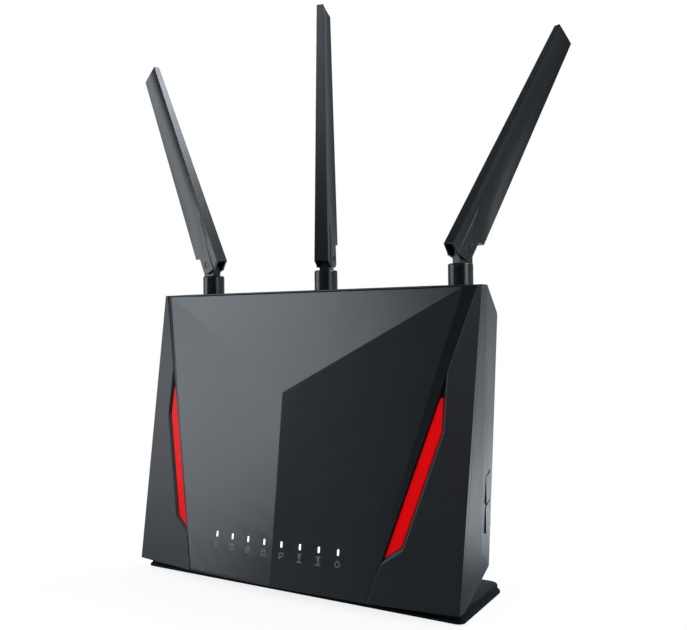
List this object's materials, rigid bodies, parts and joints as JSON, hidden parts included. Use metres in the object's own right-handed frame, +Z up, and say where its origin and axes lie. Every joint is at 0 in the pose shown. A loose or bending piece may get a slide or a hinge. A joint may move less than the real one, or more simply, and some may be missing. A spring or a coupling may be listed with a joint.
{
  "type": "wireless router",
  "caption": "Upright wireless router with a faceted grey front, black shell, red side accents, hinged aerials and a flat stand.",
  "frame": {"origin": "on the desk under the middle of the front rubber foot", "axes": "X to the right seen from the front, Y to the back, Z up"},
  "size_m": [0.2668, 0.1219, 0.3183],
  "materials": {
    "panel_plastic": "fine-grained satin grey plastic",
    "shell_plastic": "fine-grained black plastic",
    "liner_plastic": "glossy black plastic",
    "accent_plastic": "glossy red plastic",
    "guide_plastic": "milky translucent plastic",
    "board": "green solder mask",
    "steel": "zinc-plated steel",
    "chip_plastic": "black moulding",
    "tin": "tinned sheet",
    "fins": "plain aluminium",
    "wan_plastic": "blue socket plastic",
    "lan_plastic": "yellow socket plastic",
    "gold_plate": "gold-plated contacts",
    "usb_plastic": "blue tongue plastic",
    "button_plastic": "satin black plastic",
    "reset_plastic": "red plastic",
    "stand_plastic": "black plastic",
    "foot_rubber": "soft black rubber",
    "lead_jacket": "grey jacket",
    "aerial_plastic": "satin black plastic"
  },
  "bodies": {
    "router": {"front_panel": "panel_plastic", "front_bezel": "shell_plastic", "rear_housing": "shell_plastic", "port_panel": "shell_plastic", "accent_liner_left": "liner_plastic", "accent_liner_right": "liner_plastic", "accent_strip_left": "accent_plastic", "accent_strip_right": "accent_plastic", "light_guide": "guide_plastic", "status_leds": "guide_plastic", "main_board": "board", "board_screws": "steel", "chips": "chip_plastic", "shield_cans": "tin", "heatsink_front": "fins", "heatsink_rear": "fins", "wan_jack": "wan_plastic", "lan_jacks": "lan_plastic", "jack_contacts": "gold_plate", "usb_shells": "tin", "usb_tongues": "usb_plastic", "dc_inlet": "chip_plastic", "dc_pin": "gold_plate", "power_switch": "chip_plastic", "reset_switch": "chip_plastic", "side_switches": "chip_plastic", "housing_screws": "steel", "base_stand": "stand_plastic", "stand_screws": "steel", "rubber_feet": "foot_rubber", "aerial_connectors": "gold_plate", "connector_nuts": "steel", "coax_leads": "lead_jacket"},
    "power_key": {"power_button": "button_plastic"},
    "reset_key": {"reset_button": "reset_plastic"},
    "wps_key": {"wps_button": "button_plastic"},
    "wifi_key": {"wifi_button": "button_plastic"},
    "left_swivel": {"left_sleeve": "aerial_plastic"},
    "left_aerial": {"left_blade": "aerial_plastic", "left_hinge_pin": "aerial_plastic"},
    "middle_swivel": {"middle_sleeve": "aerial_plastic"},
    "middle_aerial": {"middle_blade": "aerial_plastic", "middle_hinge_pin": "aerial_plastic"},
    "right_swivel": {"right_sleeve": "aerial_plastic"},
    "right_aerial": {"right_blade": "aerial_plastic", "right_hinge_pin": "aerial_plastic"}
  },
  "joints": [
    {"name": "left_swivel_turn", "type": "hinge", "parent": "router", "child": "left_swivel", "pos_m": [-0.0878, 0.0261, 0.163], "axis": [0, 0, 1], "range_deg": [-85, 95]},
    {"name": "left_aerial_tilt", "type": "hinge", "parent": "left_swivel", "child": "left_aerial", "pos_m": [-0.08919, 0.02622, 0.1783], "axis": [-0.0872, -0.9962, 0], "range_deg": [-24.8, 65.2]},
    {"name": "middle_swivel_turn", "type": "hinge", "parent": "router", "child": "middle_swivel", "pos_m": [0, 0.0261, 0.163], "axis": [0, 0, 1], "range_deg": [-51, 9]},
    {"name": "middle_aerial_tilt", "type": "hinge", "parent": "middle_swivel", "child": "middle_aerial", "pos_m": [-0.0005, 0.02741, 0.1783], "axis": [-0.9336, -0.3584, 0], "range_deg": [0, 90]},
    {"name": "right_swivel_turn", "type": "hinge", "parent": "router", "child": "right_swivel", "pos_m": [0.0878, 0.0261, 0.163], "axis": [0, 0, 1], "range_deg": [-160.5, 19.5]},
    {"name": "right_aerial_tilt", "type": "hinge", "parent": "right_swivel", "child": "right_aerial", "pos_m": [0.08827, 0.02742, 0.1783], "axis": [-0.9426, 0.3338, 0], "range_deg": [-30.9, 59.1]},
    {"name": "power_press", "type": "slide", "parent": "router", "child": "power_key", "axis": [0, -1, 0], "range_m": [0, 0.0015], "stiffness_N_per_m": 400, "springref_m": -0.001},
    {"name": "reset_press", "type": "slide", "parent": "router", "child": "reset_key", "axis": [0, -1, 0], "range_m": [0, 0.0006], "stiffness_N_per_m": 500, "springref_m": -0.001},
    {"name": "wps_press", "type": "slide", "parent": "router", "child": "wps_key", "axis": [-1, 0, 0], "range_m": [0, 0.001], "stiffness_N_per_m": 500, "springref_m": -0.001},
    {"name": "wifi_press", "type": "slide", "parent": "router", "child": "wifi_key", "axis": [-1, 0, 0], "range_m": [0, 0.001], "stiffness_N_per_m": 500, "springref_m": -0.001}
  ]
}
